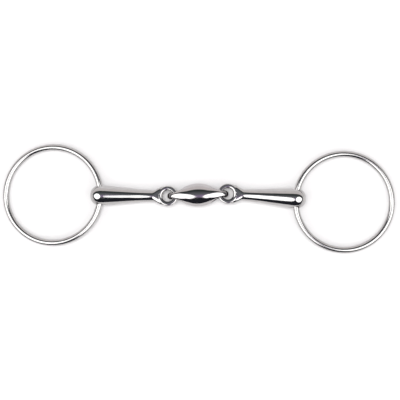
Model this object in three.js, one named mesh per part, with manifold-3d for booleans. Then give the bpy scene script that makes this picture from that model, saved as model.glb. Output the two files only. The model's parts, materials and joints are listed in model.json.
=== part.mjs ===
// Loose-ring snaffle bit with a double-jointed mouthpiece, lying flat.
//
// Two tapered arms hang on a lozenge-shaped centre link, eye in eye, and a loose ring runs
// through a hole across the thick end of each arm. That makes five closed pieces, linked
// through each other, with no pin, bush or fastener.
//
// Millimetres. +X runs along the mouthpiece, +Y is the direction of the ring holes, +Z is up,
// and the bit lies on z = 0. Each arm and the link is built along its own X axis. Round bodies
// are faceted, with their flats on the true circle.

import * as THREE from 'three';
import { mergeVertices } from 'three/addons/utils/BufferGeometryUtils.js';
import Module from 'manifold-3d';

const wasm = await Module();
wasm.setup();

// ---- Mouthpiece ----
const MOUTH_WIDTH = 134; // from ring hole to ring hole, pulled straight
const EYE_SPACING = 41; // from one arm's eye centre to the other's

// ---- Arms ----
const ARM_END = 14; // diameter at the ring hole
const ARM_NECK = 7.8; // smallest diameter, beside the eye
const ARM_TAPER_POWER = 1.5; // 1 is a straight cone, more draws the arm in towards the neck
const ARM_TAPER_EASE = 0.64; // 0 keeps the slope up to the ring hole, more levels it off
const TAPER_START = 1; // ring hole's centre to where the taper begins
const END_REACH = 6.9; // ring hole's centre to the end face
const END_FILLET = 5.4; // radius round the end face
const EYE_OUTSIDE = 14;
const EYE_HOLE = 7.8;
const EYE_THICKNESS = 6.8; // along the eye's own axis
const EYE_SQUARE = 4; // how flat the eye and the flare beside it are on top, 2 is an oval
const EYE_RIM = 1.1; // inwards from the eye's rim, where the flare has its lowest point
const EYE_DROP_REACH = 20; // that lowest point to where the arm is as thick as it is wide
const EYE_FLARE = 4; // the eye's rim to the neck
const FLARE_ANGLE = THREE.MathUtils.degToRad(18); // where the flare leaves the eye's rim

// ---- Rings ----
const RING_OUTSIDE = 70;
const RING_WIRE = 4.3;
const RING_PLAY = 0.5; // radial clearance of the wire in the arm's hole

// ---- Centre link ----
const LINK_WIDTH = 16; // across the lozenge, in the plane it lies in
const LINK_THICKNESS = 14;
const LINK_CROWN_POWER = 2.3; // 2 is an oval from the side, more is fuller towards the tips
const LINK_TIP_SQUARE = 3.5; // how flat the link is on top at its tips, 2 is an oval
const LINK_TIP_THICKNESS = 3.8; // of the bar through an arm's eye, along the link
const LINK_TIP_WIDTH = 4.6; // of the same bar, across the link
const LINK_PLAY = 0.5; // between that bar and the eye it pulls on
const LINK_SWELL_END = 3.1; // the link's tip to where its swelling begins
const LINK_SWELL_POWER = 1.45;
const LINK_HOLE_ROOM = 0.7; // above and below the arm's eye, in the link's own eye
const EYE_CLEARANCE = 0.35; // kept all round an arm's eye where the link wraps it

// ---- How it lies ----
const LINK_TURN = THREE.MathUtils.degToRad(3.05); // anticlockwise, seen from above
const LEFT_ARM_TURN = THREE.MathUtils.degToRad(0.25);
const RIGHT_ARM_TURN = THREE.MathUtils.degToRad(-2.95);

// ---- Facets ----
const BODY_SIDES = 28; // round an arm or the link
const WIRE_SIDES = 10; // round the wire of a ring
const RING_STEPS = 64; // along the wire of a ring
const EYE_SIDES = 16; // round the section of an arm's eye
const EYE_STEPS = 32; // along an arm's eye
const HOLE_SIDES = 24; // round a hole
const LINK_STEPS = 26; // along the link
const FLARE_STEPS = 6;
const TAPER_STEPS = 8;
const FILLET_STEPS = 4;

// ---- Worked out from the above ----
const armLength = (MOUTH_WIDTH - EYE_SPACING) / 2; // eye centre to ring hole
const eyeWall = (EYE_OUTSIDE - EYE_HOLE) / 2;
const eyeCentreline = (EYE_OUTSIDE - eyeWall) / 2; // radius to the middle of the wall
const ringCentreline = (RING_OUTSIDE - RING_WIRE) / 2;
const tipInner = EYE_SPACING / 2 - EYE_HOLE / 2 + LINK_PLAY; // link's centre to its tip bar
const tipOuter = tipInner + LINK_TIP_THICKNESS;
const linkHole = EYE_THICKNESS / 2 + LINK_HOLE_ROOM; // radius of the link's own eyes
const axisHeight = Math.max(ARM_END, LINK_THICKNESS) / 2;
// A ring tips about its hole until the far side of its wire lies on z = 0.
const ringDrop = Math.asin((axisHeight - RING_WIRE / 2) / (2 * ringCentreline));

const polished = { roughness: 0.12, metalness: 1 };
const ringSteel = () => new THREE.MeshStandardMaterial({ color: 0xc9c9cb, ...polished });
const armSteel = () => new THREE.MeshStandardMaterial({ color: 0xc2bfc0, ...polished });
const linkSteel = () => new THREE.MeshStandardMaterial({ color: 0xbab9bd, ...polished });

// ---- Geometry helpers ----

// Radius to the corners of a polygon whose flats touch a circle of the given radius.
const cornerRadius = (radius, sides) => radius / Math.cos(Math.PI / sides);

// Rises smoothly from 0 at start to 1 at end.
function smoothRise(value, start, end) {
  return THREE.MathUtils.smoothstep(value, start, end);
}

function toSolid(geometry) {
  geometry.deleteAttribute('normal');
  geometry.deleteAttribute('uv');
  const merged = mergeVertices(geometry, 1e-5);
  return new wasm.Manifold(new wasm.Mesh({
    numProp: 3,
    vertProperties: new Float32Array(merged.attributes.position.array),
    triVerts: new Uint32Array(merged.index.array),
  }));
}

function toGeometry(solid) {
  const mesh = solid.getMesh();
  const geometry = new THREE.BufferGeometry();
  geometry.setAttribute('position', new THREE.BufferAttribute(mesh.vertProperties, 3));
  geometry.setIndex(new THREE.BufferAttribute(mesh.triVerts, 1));
  geometry.computeVertexNormals();
  return geometry;
}

// A closed body along X, flat at its first and last station. sectionAt(x) gives its half width
// along Y, its half height along Z and how square it is: 2 is an ellipse, more is squarer.
function spindle(stations, sectionAt) {
  const first = stations[0];
  const last = stations[stations.length - 1];
  const profile = [
    new THREE.Vector2(0, first),
    ...stations.map((x) => new THREE.Vector2(1, x)),
    new THREE.Vector2(0, last),
  ];
  const geometry = new THREE.LatheGeometry(profile, BODY_SIDES, Math.PI / BODY_SIDES);
  geometry.rotateZ(-Math.PI / 2);
  const position = geometry.attributes.position;
  for (let i = 0; i < position.count; i += 1) {
    const { halfWidth, halfHeight, square } = sectionAt(position.getX(i));
    const across = position.getY(i);
    const up = position.getZ(i);
    const power = Math.abs(across) ** square + Math.abs(up) ** square;
    const reach = power > 0 ? cornerRadius(1, BODY_SIDES) / power ** (1 / square) : 0;
    position.setY(i, across * halfWidth * reach);
    position.setZ(i, up * halfHeight * reach);
  }
  return toSolid(geometry);
}

// A round cutter along Y whose radius is radiusAt(y), out to y = -reach and +reach.
function roundCutter(reach, steps, radiusAt) {
  const profile = [new THREE.Vector2(0, -reach)];
  for (let i = 0; i <= steps; i += 1) {
    const y = reach * (2 * i / steps - 1);
    profile.push(new THREE.Vector2(cornerRadius(radiusAt(y), HOLE_SIDES), y));
  }
  profile.push(new THREE.Vector2(0, reach));
  return new THREE.LatheGeometry(profile, HOLE_SIDES);
}

// The eye of an arm, lying in XY, grown by a margin all round its section.
function eyeRing(margin) {
  const halfWall = eyeWall / 2 + margin;
  const halfThickness = EYE_THICKNESS / 2 + margin;
  const geometry = new THREE.TorusGeometry(eyeCentreline, halfWall, EYE_SIDES, EYE_STEPS);
  const position = geometry.attributes.position;
  for (let i = 0; i < position.count; i += 1) {
    const x = position.getX(i);
    const y = position.getY(i);
    const radius = Math.hypot(x, y);
    const out = (radius - eyeCentreline) / halfWall;
    const up = position.getZ(i) / halfWall;
    const power = Math.abs(out) ** EYE_SQUARE + Math.abs(up) ** EYE_SQUARE;
    const reach = 1 / power ** (1 / EYE_SQUARE);
    const squared = (eyeCentreline + out * halfWall * reach) / radius;
    position.setXYZ(i, x * squared, y * squared, up * halfThickness * reach);
  }
  return geometry;
}

// ---- Pieces ----

function ringPiece() {
  const wireCorner = cornerRadius(RING_WIRE / 2, WIRE_SIDES);
  const ring = new THREE.TorusGeometry(ringCentreline, wireCorner, WIRE_SIDES, RING_STEPS);
  return toGeometry(toSolid(ring));
}

// One arm along +X, with its eye centred on the origin and its ring hole at x = armLength.
function armPiece() {
  const flareStart = (EYE_OUTSIDE / 2) * Math.sin(FLARE_ANGLE);
  const flareHalfWidth = (EYE_OUTSIDE / 2) * Math.cos(FLARE_ANGLE);
  const neckAt = EYE_OUTSIDE / 2 + EYE_FLARE;
  const taperEnd = armLength - TAPER_START;
  const endFace = armLength + END_REACH;
  const filletStart = endFace - END_FILLET;
  const neckRadius = ARM_NECK / 2;
  const endRadius = ARM_END / 2;
  const rim = EYE_OUTSIDE / 2 - EYE_RIM;

  const stations = [];
  for (let i = 0; i < FLARE_STEPS; i += 1) {
    stations.push(THREE.MathUtils.lerp(flareStart, neckAt, i / FLARE_STEPS));
  }
  for (let i = 0; i <= TAPER_STEPS; i += 1) {
    stations.push(THREE.MathUtils.lerp(neckAt, taperEnd, i / TAPER_STEPS));
  }
  for (let i = 0; i <= FILLET_STEPS; i += 1) {
    const turn = (Math.PI / 2) * (i / FILLET_STEPS);
    stations.push(filletStart + END_FILLET * Math.sin(turn));
  }

  function sectionAt(x) {
    const drop = neckRadius - EYE_THICKNESS / 2;
    const lowered = drop * (1 - smoothRise(x, rim, rim + EYE_DROP_REACH));
    if (x < neckAt) {
      const narrowing = smoothRise(x, flareStart, neckAt);
      return {
        halfWidth: THREE.MathUtils.lerp(flareHalfWidth, neckRadius, narrowing),
        halfHeight: neckRadius - lowered,
        square: THREE.MathUtils.lerp(EYE_SQUARE, 2, smoothRise(x, rim, neckAt)),
      };
    }
    const alongTaper = Math.min((x - neckAt) / (taperEnd - neckAt), 1);
    const easing = 1 + ARM_TAPER_EASE * (1 - alongTaper);
    const swelling = easing * alongTaper ** ARM_TAPER_POWER;
    let radius = neckRadius + (endRadius - neckRadius) * swelling;
    const intoFillet = Math.max(x - filletStart, 0);
    radius -= END_FILLET - Math.sqrt(Math.max(END_FILLET ** 2 - intoFillet ** 2, 0));
    return { halfWidth: radius, halfHeight: radius - lowered, square: 2 };
  }

  const eyeCore = new THREE.CylinderGeometry(
    eyeCentreline, eyeCentreline, ARM_END, EYE_STEPS);
  eyeCore.rotateX(Math.PI / 2);

  // The ring hole widens outwards as the curved wire does, so the ring swings right round it.
  const ringHole = roundCutter(ARM_END * 0.75, 12, (y) => {
    const sag = ringCentreline - Math.sqrt(ringCentreline ** 2 - y ** 2);
    return RING_WIRE / 2 + RING_PLAY + sag;
  });
  ringHole.translate(armLength, 0, 0);

  const arm = spindle(stations, sectionAt)
    .subtract(toSolid(eyeCore))
    .add(toSolid(eyeRing(0)))
    .subtract(toSolid(ringHole));
  return toGeometry(arm);
}

// The link along X: a lozenge from above, with an eye across each end.
function linkPiece() {
  const stations = [];
  for (let i = 0; i <= LINK_STEPS; i += 1) {
    stations.push(tipOuter * Math.sin(Math.PI * (i / LINK_STEPS - 0.5)));
  }
  const swellEnd = tipOuter - LINK_SWELL_END;
  const holeAt = tipInner - linkHole;
  const halfTip = LINK_TIP_THICKNESS / 2;

  function sectionAt(x) {
    const along = Math.min(Math.abs(x), tipOuter);
    const swelling = Math.max(1 - (along / swellEnd) ** 2, 0) ** LINK_SWELL_POWER;
    const intoTip = Math.max(along - (tipOuter - halfTip), 0) / halfTip;
    const tipRounding = Math.sqrt(Math.max(1 - intoTip ** 2, 0));
    const crown = Math.sqrt(Math.max(1 - (along / tipOuter) ** LINK_CROWN_POWER, 0));
    return {
      halfWidth: THREE.MathUtils.lerp(LINK_TIP_WIDTH, LINK_WIDTH, swelling) / 2 * tipRounding,
      halfHeight: LINK_THICKNESS / 2 * crown,
      square: THREE.MathUtils.lerp(2, LINK_TIP_SQUARE, smoothRise(along, holeAt / 2, tipOuter)),
    };
  }

  let link = spindle(stations, sectionAt);
  for (const side of [-1, 1]) {
    const hole = roundCutter(LINK_WIDTH / 2, 1, () => linkHole);
    hole.translate(side * holeAt, 0, 0);
    const armEye = eyeRing(EYE_CLEARANCE);
    armEye.translate(side * EYE_SPACING / 2, 0, 0);
    link = link.subtract(toSolid(hole)).subtract(toSolid(armEye));
  }
  return toGeometry(link);
}

// ---- Assembly ----

function namedMesh(name, geometry, material) {
  const mesh = new THREE.Mesh(geometry, material);
  mesh.name = name;
  return mesh;
}

// An arm and its ring, placed by the arm's eye. turn is where the arm points, seen from above.
function sideGroup(name, eye, turn, armGeometry, ringGeometry) {
  const side = new THREE.Group();
  side.position.copy(eye);
  side.rotation.z = turn;
  side.add(namedMesh(`${name}_arm`, armGeometry, armSteel()));

  const swing = new THREE.Group();
  swing.position.x = armLength;
  swing.rotation.y = ringDrop;
  const ring = namedMesh(`${name}_ring`, ringGeometry, ringSteel());
  ring.position.x = ringCentreline;
  swing.add(ring);
  side.add(swing);
  return side;
}

const bit = new THREE.Group();
const link = namedMesh('centre_link', linkPiece(), linkSteel());
link.rotation.z = LINK_TURN;
bit.add(link);

const armGeometry = armPiece();
const ringGeometry = ringPiece();
const rightEye = new THREE.Vector3(EYE_SPACING / 2, 0, 0);
rightEye.applyAxisAngle(new THREE.Vector3(0, 0, 1), LINK_TURN);
const leftEye = rightEye.clone().negate();
bit.add(sideGroup('left', leftEye, Math.PI + LEFT_ARM_TURN, armGeometry, ringGeometry));
bit.add(sideGroup('right', rightEye, RIGHT_ARM_TURN, armGeometry, ringGeometry));

// The origin is the middle of the base of the box round the whole bit.
const box = new THREE.Box3().setFromObject(bit, true);
const middle = box.getCenter(new THREE.Vector3());
bit.position.set(-middle.x, -middle.y, -box.min.z);

export default bit;
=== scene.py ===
"""Looks of a loose ring snaffle bit: five polished steel pieces, a white table and studio light."""
import json
import math
from typing import NamedTuple

import bpy
import numpy as np
from mathutils import Matrix, Vector


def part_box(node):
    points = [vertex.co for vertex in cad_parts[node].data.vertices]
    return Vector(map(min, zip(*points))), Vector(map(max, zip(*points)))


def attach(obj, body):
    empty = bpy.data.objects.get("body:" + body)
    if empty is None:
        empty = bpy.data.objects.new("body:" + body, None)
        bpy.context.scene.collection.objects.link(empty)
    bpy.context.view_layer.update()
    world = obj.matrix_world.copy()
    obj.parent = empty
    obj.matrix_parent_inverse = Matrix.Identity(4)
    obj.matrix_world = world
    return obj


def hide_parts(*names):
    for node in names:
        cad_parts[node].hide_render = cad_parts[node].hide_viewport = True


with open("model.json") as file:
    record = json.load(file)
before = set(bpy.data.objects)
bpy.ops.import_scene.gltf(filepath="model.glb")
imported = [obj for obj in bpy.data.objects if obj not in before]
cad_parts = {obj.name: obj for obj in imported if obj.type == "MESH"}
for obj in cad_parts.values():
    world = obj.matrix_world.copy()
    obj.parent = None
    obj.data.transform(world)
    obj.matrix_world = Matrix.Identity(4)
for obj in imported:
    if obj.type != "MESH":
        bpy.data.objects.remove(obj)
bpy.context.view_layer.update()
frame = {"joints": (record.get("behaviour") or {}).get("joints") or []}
joints = {joint["name"]: joint for joint in frame["joints"]}

MM = 0.001

# Sizes of the arms, in millimetres.
ARM_END = 14  # diameter at the ring hole
ARM_NECK = 7.8  # smallest diameter, beside the eye
ARM_TAPER_POWER = 1.5  # 1 is a straight cone, more draws the arm in towards the neck
ARM_TAPER_EASE = 0.64  # 0 keeps the slope up to the ring hole, more levels it off
TAPER_START = 1  # ring hole's centre to where the taper begins
TAPER_BLEND = 0.06  # how softly it begins, as a share of its length
END_REACH = 6.9  # ring hole's centre to the end
END_ROUND = 7.9  # the end to where its rounding begins
END_POWER = 2.3  # 2 rounds the end to an oval, more makes it blunter
EYE_OUTSIDE = 14
EYE_HOLE = 7.8
EYE_THICKNESS = 6.8  # along the eye's own axis
EYE_SQUARE = 4  # how flat the eye and the flare beside it are on top, 2 is an oval
EYE_LIP_SQUARE = 8  # the same, on the side of the eye's hole
EYE_RIM = 1.1  # inwards from the eye's rim, where the flare has its lowest point
EYE_DROP_REACH = 20  # that lowest point to where the arm is as thick as it is wide
EYE_DISH = 0.35  # how deep the eye is dished beside the shank
DISH_WIDTH = 1.7  # outwards from the edge of the eye's hole
EYE_FLARE = 4  # the eye's rim to the neck
FLARE_ANGLE = math.radians(18)  # where the flare leaves the eye's rim

# Sizes of the rings.
RING_OUTSIDE = 70
RING_WIRE = 4.3
RING_PLAY = 0.5  # radial clearance of the wire in the arm's hole

# Sizes of the centre link.
LINK_WIDTH = 16  # across the lozenge, in the plane it lies in
LINK_THICKNESS = 14
LINK_CROWN_POWER = 2.3  # 2 is an oval from the side, more is fuller towards the tips
LINK_TIP_SQUARE = 3.5  # how flat the link is on top at its tips, 2 is an oval
LINK_TIP_THICKNESS = 3.8  # of the bar through an arm's eye, along the link
LINK_TIP_WIDTH = 4.6  # of the same bar, across the link
LINK_PLAY = 0.5  # between that bar and the eye it pulls on
LINK_SWELL_END = 3.1  # the link's tip to where its swelling begins
LINK_SWELL_POWER = 1.45  # seen from above, more draws the link in towards its tips
LINK_HOLE_ROOM = 0.7  # above and below the arm's eye, in the link's own eye
EYE_CLEARANCE = 0.35  # kept all round an arm's eye where the link wraps it

# How softly one surface runs into the next, in millimetres.
NECK_BLEND = 0.1  # the eye into the shank
HOLE_LIP = 0.7  # round the mouths of the ring hole
LINK_LIP = 0.6  # round the mouths of the link's own eyes
EYE_LIP = 0.3  # round the room for an arm's eye

# How far the painted shade inside a hole reaches from its wall: full up to the first distance, none
# past the second.
EYE_SHADE_REACH = (0.4, 0.8)
BORE_SHADE_REACH = (0.1, 0.5)
LINK_SHADE_REACH = (0.2, 0.6)

# The polish.
LINE_WIDTH = 0.04  # of a polishing line, as a share of its length
LINE_DEPTH = 0.02  # in millimetres
LINE_BUMP = 0.06  # how strongly that depth shows
NOISE_RANGE = (0.35, 0.65)  # where a noise spends most of its values
CLOUD_SHADE = 0.94  # how dark the cloudy patches are

# How finely the surfaces are meshed, with lengths in millimetres.
MESH_STEP = 0.34  # from one point to the next
RELAX_ROUNDS = 4  # times that the points are evened out
PROJECT_ROUNDS = 3  # moves that a point makes to reach the surface
GRADIENT_STEP = 0.01  # to each side of a point, to find the slope there
THINNEST = 0.05  # the least radius or half width, so that nothing is divided by zero
LEAST_SLOPE = 0.05  # the flattest that a field is taken to be
RING_STEPS = 320  # round a ring
WIRE_STEPS = 32  # round its wire

# Colours, all linear.
STEEL = (0.52, 0.51, 0.505)
LINK_STEEL = (0.52, 0.50, 0.50)
# Painted shade: the near black that the steel's colour takes on inside its holes, standing in for the
# shade in the bores.
HOLE_SHADE_PAINT = (0.13, 0.12, 0.12)
TABLE_WHITE = (0.45, 0.443, 0.445)
CEILING = (0.19, 0.20, 0.22)
FAR_CEILING = (0.045, 0.056, 0.055)
NEAR_CEILING = (0.024, 0.026, 0.034)
SWEEP = (0.94, 0.89, 0.89)
HAZE = (1, 0.98, 0.98)
VIOLET = (0.34, 0.26, 0.42)
LAMP = (2.8, 2.8, 2.8)


# ---------------------------------------------------------------- smooth solids as fields


def smoothstep(x, start, end):
    t = np.clip((x - start) / (end - start), 0, 1)
    return t * t * (3 - 2 * t)


def blend(a, b, t):
    return a + (b - a) * t


def join(a, b, softness):
    """The union of two fields, with a fillet where they meet."""
    near = np.maximum(softness - np.abs(a - b), 0) / softness
    return np.minimum(a, b) - near * near * softness / 4


def cut(a, b, softness):
    """Field a without field b, with a rounded lip where b leaves it."""
    return -join(-a, b, softness)


def oval(u, v, half_u, half_v, power=2):
    """About the distance from an ellipse round the origin, squarer as the power grows."""
    u, v = np.abs(u) / half_u, np.abs(v) / half_v
    reach = (u**power + v**power) ** (1 / power)
    steepness = np.hypot(u ** (power - 1) / half_u, v ** (power - 1) / half_v)
    return reach ** (power - 1) * (reach - 1) / np.maximum(steepness, 1e-6)


def eye_field(x, y, z, grown=0.0):
    """The flattened loop at the inner end of an arm, round its own centre, dished beside the shank."""
    wall = (EYE_OUTSIDE - EYE_HOLE) / 4
    centreline = (EYE_OUTSIDE + EYE_HOLE) / 4
    radius = np.maximum(np.hypot(x, y), THINNEST)
    into_dish = np.clip((EYE_HOLE / 2 + DISH_WIDTH - radius) / DISH_WIDTH, 0, 1)
    depth = EYE_DISH * smoothstep(x / radius, -1, 1)
    half_height = EYE_THICKNESS / 2 - depth * into_dish**2 + grown
    power = np.where(radius < centreline, EYE_LIP_SQUARE, EYE_SQUARE)
    return oval(radius - centreline, z, wall + grown, half_height, power)


def ring_hole_field(x, y, z):
    """The bore for the ring, which widens outwards as the ring's wire curves through it."""
    ring_radius = (RING_OUTSIDE - RING_WIRE) / 2
    bow = ring_radius - np.sqrt(ring_radius**2 - np.minimum(y * y, ring_radius**2 / 4))
    return np.hypot(x, z) - (RING_WIRE / 2 + RING_PLAY + bow)


def arm_radius(x, neck_at, arm_length):
    """The shank swells from the neck to the ring hole and closes in a full rounded end."""
    taper_end = arm_length - TAPER_START
    t = np.clip((x - neck_at) / (taper_end - neck_at), 0, 2)
    t = join(t, np.ones_like(t), TAPER_BLEND)
    t = np.clip(t, 0, 1)
    growth = t**ARM_TAPER_POWER * (1 + ARM_TAPER_EASE * (1 - t))
    swell = blend(ARM_NECK, ARM_END, growth) / 2
    end_face = arm_length + END_REACH
    into_end = np.clip((x - (end_face - END_ROUND)) / END_ROUND, 0, 1)
    return swell * (1 - into_end**END_POWER) ** (1 / END_POWER)


def arm_field(arm_length):
    """An arm along +X from the centre of its eye."""
    eye_radius = EYE_OUTSIDE / 2
    rim = eye_radius - EYE_RIM
    eye_drop = (ARM_NECK - EYE_THICKNESS) / 2
    flare_start = eye_radius * math.sin(FLARE_ANGLE)
    flare_half = eye_radius * math.cos(FLARE_ANGLE)
    neck_at = eye_radius + EYE_FLARE

    def field(x, y, z):
        radius = arm_radius(x, neck_at, arm_length)
        flare = smoothstep(x, flare_start, neck_at)
        half_width = np.where(x < neck_at, blend(flare_half, ARM_NECK / 2, flare), radius)
        drop = eye_drop * (1 - smoothstep(x, rim, rim + EYE_DROP_REACH))
        half_height = np.maximum(radius - drop, THINNEST)
        power = blend(EYE_SQUARE, 2, smoothstep(x, rim, neck_at))
        shank = oval(y, z, np.maximum(half_width, THINNEST), half_height, power)
        shank = np.maximum(shank, x - (arm_length + END_REACH))
        shank = np.maximum(shank, rim - np.hypot(x, y))
        shank = np.maximum(shank, flare_start - x)
        whole = join(shank, eye_field(x, y, z), NECK_BLEND)
        return cut(whole, ring_hole_field(x - arm_length, y, z), HOLE_LIP)

    return field


def link_hole(eye_spacing):
    """The link's own eye, for an arm's eye to pass through: its centre along X, and its radius."""
    radius = EYE_THICKNESS / 2 + LINK_HOLE_ROOM
    tip_inner = eye_spacing / 2 - EYE_HOLE / 2 + LINK_PLAY
    return tip_inner - radius, radius


def link_field(eye_spacing):
    """The lozenge along X round its own centre, with an eye near each tip for an arm's eye."""
    hole_at, hole_radius = link_hole(eye_spacing)
    tip_outer = hole_at + hole_radius + LINK_TIP_THICKNESS
    half_tip = LINK_TIP_THICKNESS / 2
    swell_reach = tip_outer - LINK_SWELL_END

    def field(x, y, z):
        along = np.abs(x)
        swell = np.maximum(1 - (along / swell_reach) ** 2, 0) ** LINK_SWELL_POWER
        into_tip = np.clip((along - (tip_outer - half_tip)) / half_tip, 0, 1)
        half_width = blend(LINK_TIP_WIDTH, LINK_WIDTH, swell) / 2 * np.sqrt(1 - into_tip**2)
        crown = np.sqrt(np.maximum(1 - (along / tip_outer) ** LINK_CROWN_POWER, 0))
        half_height = LINK_THICKNESS / 2 * crown
        power = blend(2, LINK_TIP_SQUARE, smoothstep(along, hole_at / 2, tip_outer))
        half_width = np.maximum(half_width, THINNEST)
        body = oval(y, z, half_width, np.maximum(half_height, THINNEST), power)
        body = np.maximum(body, along - tip_outer)
        body = cut(body, np.hypot(along - hole_at, z) - hole_radius, LINK_LIP)
        eye = eye_field(along - eye_spacing / 2, y, z, grown=EYE_CLEARANCE)
        return cut(body, eye, EYE_LIP)

    return field


# ---------------------------------------------------------------- fields as meshes


def gradient(field, points):
    """The field's slope at each point, by central differences."""
    slope = np.zeros_like(points)
    for axis in range(3):
        ahead, behind = points.copy(), points.copy()
        ahead[:, axis] += GRADIENT_STEP
        behind[:, axis] -= GRADIENT_STEP
        slope[:, axis] = (field(*ahead.T) - field(*behind.T)) / (2 * GRADIENT_STEP)
    return slope


def project(field, points):
    """Points moved onto the field's surface."""
    for _ in range(PROJECT_ROUNDS):
        slope = gradient(field, points)
        steepness = np.maximum((slope * slope).sum(1), LEAST_SLOPE)
        move = slope * (field(*points.T) / steepness)[:, None]
        length = np.maximum(np.linalg.norm(move, axis=1), 1e-9)
        points = points - move * np.minimum(1, MESH_STEP / length)[:, None]
    return points


def relax(points, quads):
    """Points moved to the middle of their neighbours."""
    total, count = np.zeros_like(points), np.zeros(len(points))
    for here in range(4):
        a, b = quads[:, here], quads[:, (here + 1) % 4]
        for one, other in ((a, b), (b, a)):
            for axis in range(3):
                total[:, axis] += np.bincount(one, points[other, axis], len(points))
            count += np.bincount(one, minlength=len(points))
    return total / count[:, None]


def surface_of(field, low, high):
    """An even mesh of quads on the field's surface, one vertex for each grid cell that it crosses."""
    axes = [np.arange(a - MESH_STEP, b + 2 * MESH_STEP, MESH_STEP) for a, b in zip(low, high)]
    inside = field(*np.meshgrid(*axes, indexing="ij")) < 0
    filled = np.zeros([n - 1 for n in inside.shape], int)
    for corner in np.ndindex(2, 2, 2):
        window = tuple(slice(c, c + n) for c, n in zip(corner, filled.shape))
        filled += inside[window]
    crossed = (filled > 0) & (filled < 8)
    number = np.full(filled.shape, -1)
    number[crossed] = np.arange(crossed.sum())
    points = np.stack([axes[k][index] for k, index in enumerate(np.nonzero(crossed))], 1)
    points = points + MESH_STEP / 2
    quads = []
    for axis in range(3):
        first = tuple(slice(None, -1) if k == axis else slice(1, -1) for k in range(3))
        second = tuple(slice(1, None) if k == axis else slice(1, -1) for k in range(3))
        entering = inside[second].astype(int) - inside[first]
        side_a, side_b = (axis + 1) % 3, (axis + 2) % 3
        for sense in (1, -1):
            cell = np.array(np.nonzero(entering == sense))
            cell[side_a] += 1
            cell[side_b] += 1
            ring = []
            for back_a, back_b in ((1, 1), (0, 1), (0, 0), (1, 0)):
                corner = cell.copy()
                corner[side_a] -= back_a
                corner[side_b] -= back_b
                ring.append(number[tuple(corner)])
            quads.append(np.stack(ring if sense == -1 else ring[::-1], 1))
    quads = np.concatenate(quads)
    points = project(field, points)
    for _ in range(RELAX_ROUNDS):
        points = project(field, relax(points, quads))
    return points, quads


class Skin(NamedTuple):
    """A surface in millimetres, in its piece's own axes."""

    points: np.ndarray
    quads: np.ndarray
    normals: np.ndarray
    grain: np.ndarray  # where each point is in the polishing lines
    painted_shade: np.ndarray  # 1 where the painted shade in a hole is full, 0 where the steel keeps its own colour


def steel_piece(name, node, material, skin, place):
    """A mesh placed in the frame, which stands for a CAD node and rides the body of the same name."""
    turn = np.array(place.to_3x3())
    verts = skin.points * MM @ turn.T + np.array(place.translation)
    mesh = bpy.data.meshes.new(name)
    mesh.from_pydata(verts.tolist(), [], skin.quads.tolist())
    mesh.polygons.foreach_set("use_smooth", [True] * len(skin.quads))
    stored = mesh.attributes.new("grain", "FLOAT_VECTOR", "POINT")
    stored.data.foreach_set("vector", skin.grain.astype(np.float32).ravel())
    # Painted shade for the holes, kept as a value on each point.
    stored = mesh.attributes.new("painted_shade", "FLOAT", "POINT")
    stored.data.foreach_set("value", skin.painted_shade.astype(np.float32))
    mesh.materials.append(material)
    mesh.validate()
    normals = skin.normals / np.linalg.norm(skin.normals, axis=1)[:, None]
    mesh.normals_split_custom_set_from_vertices((normals @ turn.T).tolist())
    piece = bpy.data.objects.new(name, mesh)
    bpy.context.scene.collection.objects.link(piece)
    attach(piece, node)
    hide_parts(node)


# ---------------------------------------------------------------- places, from the frame


def axes_at(origin, along, up=Vector((0, 0, 1))):
    """A placement with its X along one direction and its Z as near as possible to up."""
    x = along.normalized()
    y = up.cross(x).normalized()
    z = x.cross(y)
    turn = Matrix((x, y, z)).transposed()
    return Matrix.Translation(origin) @ turn.to_4x4()


def joint_at(name):
    return Vector(joints[name]["pos_m"])


def arm_place(side):
    eye, hole = joint_at(side + "_arm_fold"), joint_at(side + "_ring_swing")
    return axes_at(eye, hole - eye), (hole - eye).length / MM


def link_place():
    left, right = joint_at("left_arm_fold"), joint_at("right_arm_fold")
    return axes_at((left + right) / 2, right - left), (right - left).length / MM


def ring_place(side):
    """The ring's centre, with X away from its hole and Y along the axis that it swings about."""
    hole = joint_at(side + "_ring_swing")
    low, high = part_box(side + "_ring")
    centre = (low + high) / 2
    swing = Vector(joints[side + "_ring_swing"]["axis"])
    along = centre - hole
    along = (along - swing * along.dot(swing)).normalized()
    return axes_at(hole + along * (RING_OUTSIDE - RING_WIRE) / 2 * MM, along, along.cross(swing))


# ---------------------------------------------------------------- the pieces


def field_skin(field, low, high, shade_at):
    """The skin of a solid field, with polishing lines along X."""
    points, quads = surface_of(field, low, high)
    grain = points * np.array((LINE_WIDTH, 1, 1))
    return Skin(points, quads, gradient(field, points), grain, shade_at(*points.T))


def shade_near(distance, reach):
    """The share of painted shade: 1 beside the wall of a hole, 0 at a distance from it."""
    full, none = reach
    return smoothstep(distance, none, full)


def make_link(material):
    place, spacing = link_place()
    past_tip = 1
    reach = (spacing / 2 + past_tip, LINK_WIDTH / 2, LINK_THICKNESS / 2)
    hole_at, hole_radius = link_hole(spacing)

    # Painted shade inside the link's own eyes, where they lie in shade.
    def shade_at(x, y, z):
        from_hole = np.hypot(np.abs(x) - hole_at, z) - hole_radius
        return shade_near(from_hole, LINK_SHADE_REACH)

    skin = field_skin(link_field(spacing), [-r for r in reach], reach, shade_at)
    steel_piece("link_smooth", "centre_link", material, skin, place)


def make_arm(side, material):
    place, length = arm_place(side)
    low = (-EYE_OUTSIDE / 2, -ARM_END / 2, -ARM_END / 2)
    high = (length + END_REACH, ARM_END / 2, ARM_END / 2)

    # Painted shade inside the eye's hole and the ring's bore, where they lie in shade.
    def shade_at(x, y, z):
        in_eye = shade_near(np.hypot(x, y) - EYE_HOLE / 2, EYE_SHADE_REACH)
        in_bore = shade_near(ring_hole_field(x - length, y, z), BORE_SHADE_REACH)
        return np.maximum(in_eye, in_bore)

    skin = field_skin(arm_field(length), low, high, shade_at)
    steel_piece(side + "_arm_smooth", side + "_arm", material, skin, place)


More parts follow.
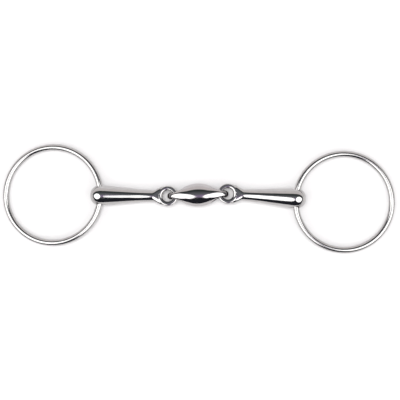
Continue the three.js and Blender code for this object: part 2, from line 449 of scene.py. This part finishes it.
def make_ring(side, material):
    """A round wire bent to a circle, as a grid of quads that closes both ways."""
    place = ring_place(side)
    radius = (RING_OUTSIDE - RING_WIRE) / 2
    step, spoke = np.divmod(np.arange(RING_STEPS * WIRE_STEPS), WIRE_STEPS)
    turn, around = step * 2 * np.pi / RING_STEPS, spoke * 2 * np.pi / WIRE_STEPS
    out = np.stack((np.cos(turn), np.sin(turn), np.zeros_like(turn)), 1)
    normals = out * np.cos(around)[:, None]
    normals[:, 2] = np.sin(around)
    points = out * radius + normals * RING_WIRE / 2
    section = np.stack((np.cos(around), np.sin(around), np.zeros_like(around)), 1)
    grain = out * radius * LINE_WIDTH + section * RING_WIRE / 2
    ahead, next_spoke = (step + 1) % RING_STEPS, (spoke + 1) % WIRE_STEPS
    quads = np.stack((step * WIRE_STEPS + spoke, ahead * WIRE_STEPS + spoke,
                      ahead * WIRE_STEPS + next_spoke, step * WIRE_STEPS + next_spoke), 1)
    skin = Skin(points, quads, normals, grain, np.zeros(len(points)))
    steel_piece(side + "_ring_smooth", side + "_ring", material, skin, place)


# ---------------------------------------------------------------- polished steel


class Wires:
    """Short names for building a shader out of nodes."""

    def __init__(self, tree):
        self.nodes, self.links = tree.nodes, tree.links

    def feed(self, socket, value):
        """Links a socket to another, or sets it to a number or a colour."""
        if isinstance(value, bpy.types.NodeSocket):
            self.links.new(value, socket)
        elif isinstance(value, tuple):
            socket.default_value = (*value, 1)
        else:
            socket.default_value = value

    def node(self, kind, output, **inputs):
        """One output of a new node, whose inputs are given by name."""
        node = self.nodes.new(kind)
        for name, value in inputs.items():
            self.feed(node.inputs[name], value)
        return node.outputs[output]

    def math(self, operation, *inputs):
        node = self.nodes.new("ShaderNodeMath")
        node.operation = operation
        for socket, value in zip(node.inputs, inputs):
            self.feed(socket, value)
        return node.outputs["Value"]

    def ramp(self, value, start, end, low=0, high=1, kind="SMOOTHSTEP"):
        """From low to high as value goes from start to end."""
        node = self.nodes.new("ShaderNodeMapRange")
        node.interpolation_type = kind
        for name, number in (("Value", value), ("From Min", start), ("From Max", end),
                             ("To Min", low), ("To Max", high)):
            self.feed(node.inputs[name], number)
        return node.outputs["Result"]

    def mix(self, share, below, above):
        """From one colour to another as share goes from 0 to 1."""
        node = self.nodes.new("ShaderNodeMix")
        node.data_type = "RGBA"
        for name, value in (("Factor", share), ("A", below), ("B", above)):
            self.feed(node.inputs[name], value)
        return node.outputs["Result"]

    def attribute(self, name, output):
        node = self.nodes.new("ShaderNodeAttribute")
        node.attribute_name = name
        return node.outputs[output]


def steel_material(name, colour, roughness):
    """Hand-polished stainless steel, with faint polishing lines, cloudy patches and painted shade
    inside its holes.
    """
    material = bpy.data.materials.new(name)
    material.use_nodes = True
    wires = Wires(material.node_tree)

    def spread(noise, low, high):
        return wires.ramp(noise, *NOISE_RANGE, low, high, kind="LINEAR")

    grain = wires.attribute("grain", "Vector")
    place = wires.nodes.new("ShaderNodeTexCoord").outputs["Object"]
    lines = wires.node("ShaderNodeTexNoise", "Fac", Vector=grain, Scale=2.4, Detail=6, Roughness=0.6)
    cloud = wires.node("ShaderNodeTexNoise", "Fac", Vector=place, Scale=140, Detail=3, Roughness=0.5)
    shaded = tuple(c * CLOUD_SHADE for c in colour)
    own_colour = wires.mix(spread(cloud, 0, 1), shaded, colour)
    # Painted shade: the colour runs to a near black inside the holes, where they lie in shade.
    shaded_holes = wires.mix(wires.attribute("painted_shade", "Fac"), own_colour, HOLE_SHADE_PAINT)
    line_dullness = spread(lines, roughness * 0.7, roughness * 1.2)
    cloud_dullness = spread(cloud, 0, roughness * 0.4)
    dullness = wires.math("ADD", line_dullness, cloud_dullness)
    bump = wires.node("ShaderNodeBump", "Normal", Strength=LINE_BUMP, Distance=LINE_DEPTH * MM,
                      Height=lines)
    shader = wires.nodes["Principled BSDF"]
    for name, value in (("Metallic", 1), ("Base Color", shaded_holes), ("Roughness", dullness),
                        ("Normal", bump)):
        wires.feed(shader.inputs[name], value)
    return material


# ---------------------------------------------------------------- studio


def add_camera():
    """Looks almost straight down on the link from 1.5 m, a little from the near right."""
    distance = 1.5
    lean_right, lean_near, roll = (math.radians(a) for a in (2.84, 3, -1.07))
    back = Vector((math.sin(lean_right) * math.cos(lean_near), -math.sin(lean_near),
                   math.cos(lean_right) * math.cos(lean_near)))
    up = Vector((math.sin(roll), math.cos(roll), 0))
    x = up.cross(back).normalized()
    y = back.cross(x)
    height = (joint_at("left_arm_fold").z + joint_at("right_arm_fold").z) / 2
    target = Vector((0, 0, height))
    data = bpy.data.cameras.new("camera")
    data.lens = 197.6
    data.shift_x = 0.0055
    data.shift_y = -0.0045
    camera = bpy.data.objects.new("camera", data)
    turned = Matrix((x, y, back)).transposed().to_4x4()
    camera.matrix_world = Matrix.Translation(target + back * distance) @ turned
    bpy.context.scene.collection.objects.link(camera)
    bpy.context.scene.camera = camera


def add_fill():
    """A softbox straight overhead, which lights the table and doesn't show in the steel."""
    data = bpy.data.lights.new("fill", "AREA")
    data.shape = "SQUARE"
    data.size = 2.4
    data.energy = 800
    light = bpy.data.objects.new("fill", data)
    light.location = (0, 0, 8)
    light.visible_glossy = False
    bpy.context.scene.collection.objects.link(light)


def add_floor():
    mesh = bpy.data.meshes.new("table")
    reach = 6
    mesh.from_pydata([(-reach, -reach, 0), (reach, -reach, 0), (reach, reach, 0),
                      (-reach, reach, 0)], [], [(0, 1, 2, 3)])
    material = bpy.data.materials.new("white_table")
    material.use_nodes = True
    shader = material.node_tree.nodes["Principled BSDF"]
    shader.inputs["Base Color"].default_value = (*TABLE_WHITE, 1)
    shader.inputs["Roughness"].default_value = 0.6
    mesh.materials.append(material)
    floor = bpy.data.objects.new("table", mesh)
    bpy.context.scene.collection.objects.link(floor)


def add_world():
    """A dark room with two big oval lights overhead and a pale sweep behind the table.

    It is laid out in degrees: across is from straight up towards +X, along is from straight up
    towards +Y, and height is above the horizon."""
    world = bpy.data.worlds.new("studio")
    bpy.context.scene.world = world
    world.use_nodes = True
    wires = Wires(world.node_tree)
    place = wires.nodes.new("ShaderNodeTexCoord")
    split = wires.nodes.new("ShaderNodeSeparateXYZ")
    wires.links.new(place.outputs["Generated"], split.inputs["Vector"])
    x, y, z = (split.outputs[axis] for axis in "XYZ")
    to_degrees = 180 / math.pi
    across = wires.math("MULTIPLY", wires.math("ARCSINE", x), to_degrees)
    along = wires.math("MULTIPLY", wires.math("ARCTAN2", y, z), to_degrees)
    height = wires.math("MULTIPLY", wires.math("ARCSINE", z), to_degrees)

    def oval_patch(centre, reach, power, soft):
        """1 inside an oval of sky, 0 outside it, with sharper ends as the power drops below 2."""
        u = wires.math("DIVIDE", wires.math("SUBTRACT", across, centre[0]), reach[0])
        v = wires.math("DIVIDE", wires.math("SUBTRACT", along, centre[1]), reach[1])
        far = wires.math("POWER", wires.math("ABSOLUTE", u), power)
        span = wires.math("SQRT", wires.math("ADD", far, wires.math("MULTIPLY", v, v)))
        return wires.ramp(span, 1 + soft, 1 - soft)

    sky = wires.mix(wires.ramp(along, start=40, end=4), FAR_CEILING, CEILING)
    sky = wires.mix(wires.ramp(along, start=-5, end=-35), sky, NEAR_CEILING)
    sky = wires.mix(wires.ramp(along, start=46, end=53), sky, SWEEP)
    low_down = wires.ramp(height, start=9, end=5)
    past_near_side = wires.ramp(y, start=-0.75, end=-0.5)
    sky = wires.mix(wires.math("MULTIPLY", low_down, past_near_side), sky, HAZE)
    sky = wires.mix(oval_patch(centre=(2, -12), reach=(8, 12), power=2, soft=0.5), sky, VIOLET)
    for middle in (-35, 35):
        lamp = oval_patch(centre=(middle, -17), reach=(31, 36), power=1.6, soft=0.05)
        sky = wires.mix(lamp, sky, LAMP)
    wires.links.new(sky, wires.nodes["Background"].inputs["Color"])


bpy.context.scene.view_settings.view_transform = "Standard"
add_camera()
add_floor()
add_world()
add_fill()

link_steel = steel_material("link_steel", LINK_STEEL, roughness=0.07)
arm_steel = steel_material("arm_steel", STEEL, roughness=0.08)
ring_steel = steel_material("ring_steel", STEEL, roughness=0.13)
make_link(link_steel)
for side in ("left", "right"):
    make_arm(side, arm_steel)
    make_ring(side, ring_steel)
